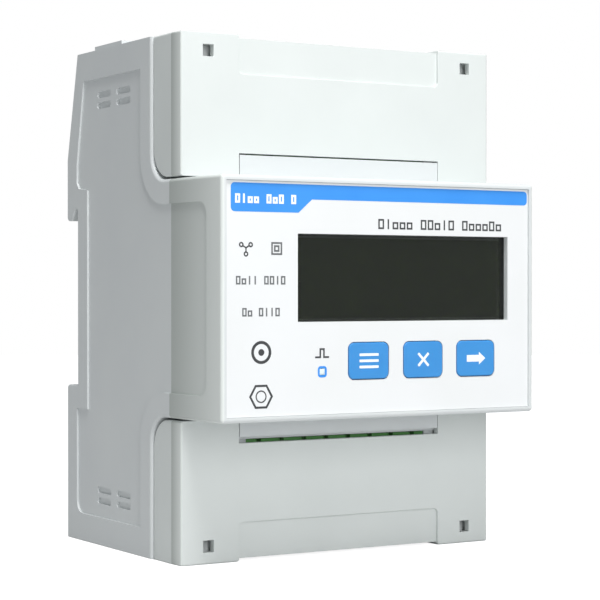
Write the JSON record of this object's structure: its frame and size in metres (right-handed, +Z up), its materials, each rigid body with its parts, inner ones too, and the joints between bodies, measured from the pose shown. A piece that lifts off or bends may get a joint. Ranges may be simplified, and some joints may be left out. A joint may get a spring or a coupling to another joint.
{
  "type": "smart electric meter",
  "caption": "Rail-mounted smart electric meter: stepped modular case with display, keys and pulse light, pull-off terminal covers, wire terminals and a sprung rail clip.",
  "frame": {"origin": "centre of the footprint, on the surface that the meter stands on", "axes": "+X to the right of the face, +Y from the face to the rail, +Z up"},
  "size_m": [0.072, 0.0654, 0.1008],
  "materials": {
    "case_plastic": "fine textured moulded light grey polycarbonate",
    "cover_plastic": "fine textured moulded light grey polycarbonate",
    "clip_plastic": "moulded dark grey acetal",
    "printed_film": "matt printed polycarbonate film",
    "key_blue": "matt printed blue key caps",
    "window_clear": "clear moulded polycarbonate",
    "lcd": "polarised display glass",
    "white_plastic": "moulded white plastic",
    "silicone": "layered silicone rubber",
    "circuit_board": "glass epoxy with green solder mask",
    "black_plastic": "moulded black epoxy or nylon",
    "plunger_tan": "moulded acetal",
    "crystal_can": "drawn metal can",
    "screw_steel": "zinc plated steel",
    "spring_steel": "drawn spring steel",
    "pulse_lens": "clear moulded acrylic",
    "led_body": "moulded light emitting diode",
    "gold_pins": "gold flashed",
    "core_iron": "stacked silicon steel sheets",
    "coil_copper": "taped copper winding",
    "capacitor_sleeve": "shrunk plastic sleeve on aluminium",
    "sense_blue": "potted plastic shell",
    "varistor_blue": "dipped epoxy",
    "terminal_green": "moulded green nylon",
    "terminal_brass": "tinned brass"
  },
  "bodies": {
    "case": {"main_case": "case_plastic", "rear_cover": "case_plastic", "rear_cover_screws": "screw_steel", "rail_clip_spring": "spring_steel", "face_overlay": "printed_film", "display_window": "window_clear", "lcd_glass": "lcd", "lcd_holder": "white_plastic", "backlight_diffuser": "white_plastic", "contact_strips": "silicone", "display_board": "circuit_board", "display_board_screws": "screw_steel", "processor_chip": "black_plastic", "clock_crystal": "crystal_can", "switch_set": "black_plastic", "switch_back": "black_plastic", "switch_next": "black_plastic", "pulse_led": "led_body", "pulse_light_pipe": "pulse_lens", "link_header": "black_plastic", "link_pins": "gold_pins", "link_socket": "black_plastic", "main_board": "circuit_board", "main_board_screws": "screw_steel", "metering_chip": "black_plastic", "bus_chip": "black_plastic", "transformer_core": "core_iron", "transformer_coil": "coil_copper", "filter_capacitors": "capacitor_sleeve", "sense_transformer_1": "sense_blue", "sense_transformer_2": "sense_blue", "sense_transformer_3": "sense_blue", "varistor_1": "varistor_blue", "varistor_2": "varistor_blue", "varistor_3": "varistor_blue", "upper_terminal_block": "terminal_green", "upper_terminal_screws": "screw_steel", "upper_terminal_clamps": "terminal_brass", "upper_terminal_contacts": "terminal_brass", "lower_terminal_block": "terminal_green", "lower_terminal_screws": "screw_steel", "lower_terminal_clamps": "terminal_brass", "lower_terminal_contacts": "terminal_brass"},
    "upper_cover": {"terminal_cover_upper": "cover_plastic"},
    "lower_cover": {"terminal_cover_lower": "cover_plastic"},
    "set_key": {"key_set": "key_blue", "plunger_set": "plunger_tan"},
    "back_key": {"key_back": "key_blue", "plunger_back": "plunger_tan"},
    "next_key": {"key_next": "key_blue", "plunger_next": "plunger_tan"},
    "rail_clip": {"rail_clip": "clip_plastic"}
  },
  "joints": [
    {"name": "upper_cover_pull_off", "type": "slide", "parent": "case", "child": "upper_cover", "axis": [0, -1, 0], "range_m": [0, 0.025]},
    {"name": "lower_cover_pull_off", "type": "slide", "parent": "case", "child": "lower_cover", "axis": [0, -1, 0], "range_m": [0, 0.025]},
    {"name": "set_key_press", "type": "slide", "parent": "case", "child": "set_key", "axis": [0, 1, 0], "range_m": [0, 0.0005], "stiffness_N_per_m": 2500},
    {"name": "back_key_press", "type": "slide", "parent": "case", "child": "back_key", "axis": [0, 1, 0], "range_m": [0, 0.0005], "stiffness_N_per_m": 2500},
    {"name": "next_key_press", "type": "slide", "parent": "case", "child": "next_key", "axis": [0, 1, 0], "range_m": [0, 0.0005], "stiffness_N_per_m": 2500},
    {"name": "rail_clip_release", "type": "slide", "parent": "case", "child": "rail_clip", "axis": [0, 0, -1], "range_m": [0, 0.005], "stiffness_N_per_m": 1500, "deforming": ["rail_clip_spring"]}
  ]
}
